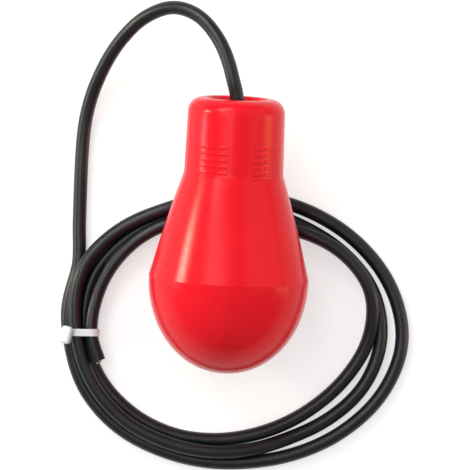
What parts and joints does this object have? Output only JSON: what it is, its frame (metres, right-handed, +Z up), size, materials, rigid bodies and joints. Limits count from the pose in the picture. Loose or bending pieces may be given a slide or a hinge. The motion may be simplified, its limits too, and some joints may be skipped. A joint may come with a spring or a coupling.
{
  "type": "cable float switch",
  "caption": "Pear-shaped float switch with an inner ball-operated switch, lying on its own coiled and tied cable.",
  "frame": {"origin": "centre of the float's bounding box in plan, on the surface that it lies on", "axes": "+Y along the float towards its neck, +Z up, the neck raised 5.8 degrees by the coil under it"},
  "size_m": [0.2221, 0.2933, 0.0999],
  "materials": {
    "casing_red": "satin moulded",
    "cable_black": "satin",
    "seal_black": "matt",
    "grey_plastic": "matt",
    "white_nylon": "satin",
    "inner_nylon": "matt",
    "black_plastic": "matt",
    "steel": "bright",
    "brass": "bright",
    "core_brown": "matt",
    "core_blue": "matt",
    "core_yellow": "matt"
  },
  "bodies": {
    "float": {"casing_upper": "casing_red", "casing_lower": "casing_red", "cable_seal": "seal_black", "cable_inner": "cable_black", "clamp_bridge": "grey_plastic", "clamp_saddle": "grey_plastic", "clamp_screw_left": "steel", "clamp_screw_right": "steel", "capsule_body": "grey_plastic", "capsule_cap": "grey_plastic", "capsule_oring": "seal_black", "ball_guide": "inner_nylon", "switch_carrier": "inner_nylon", "carrier_screw_near": "steel", "carrier_screw_far": "steel", "switch_case": "black_plastic", "terminal_common": "brass", "terminal_open": "brass", "terminal_closed": "brass", "lever_pin": "steel", "core_common": "core_brown", "core_open": "core_blue", "core_closed": "core_yellow", "cable_lead": "cable_black", "cable_coil": "cable_black", "cable_tail": "cable_black", "end_core_brown": "core_brown", "end_core_blue": "core_blue", "end_core_yellow": "core_yellow", "tie_strap": "white_nylon", "tie_head": "white_nylon"},
    "ball": {"steel_ball": "steel"},
    "lever": {"switch_lever": "steel"},
    "plunger": {"switch_plunger": "inner_nylon"}
  },
  "joints": [
    {"name": "ball_roll", "type": "slide", "parent": "float", "child": "ball", "axis": [0, 0.9949, 0.1011], "range_m": [0, 0.0201]},
    {"name": "lever_hinge", "type": "hinge", "parent": "float", "child": "lever", "pos_m": [-0.0123, -0.01442, 0.05144], "axis": [0, -0.1011, 0.9949], "range_deg": [0, 6]},
    {"name": "plunger_slide", "type": "slide", "parent": "float", "child": "plunger", "axis": [0, 0.9949, 0.1011], "range_m": [0, 0.00073]}
  ],
  "couplings": [
    {"joint": "lever_hinge", "follows": "plunger_slide", "rad_per_m": 142.86}
  ]
}
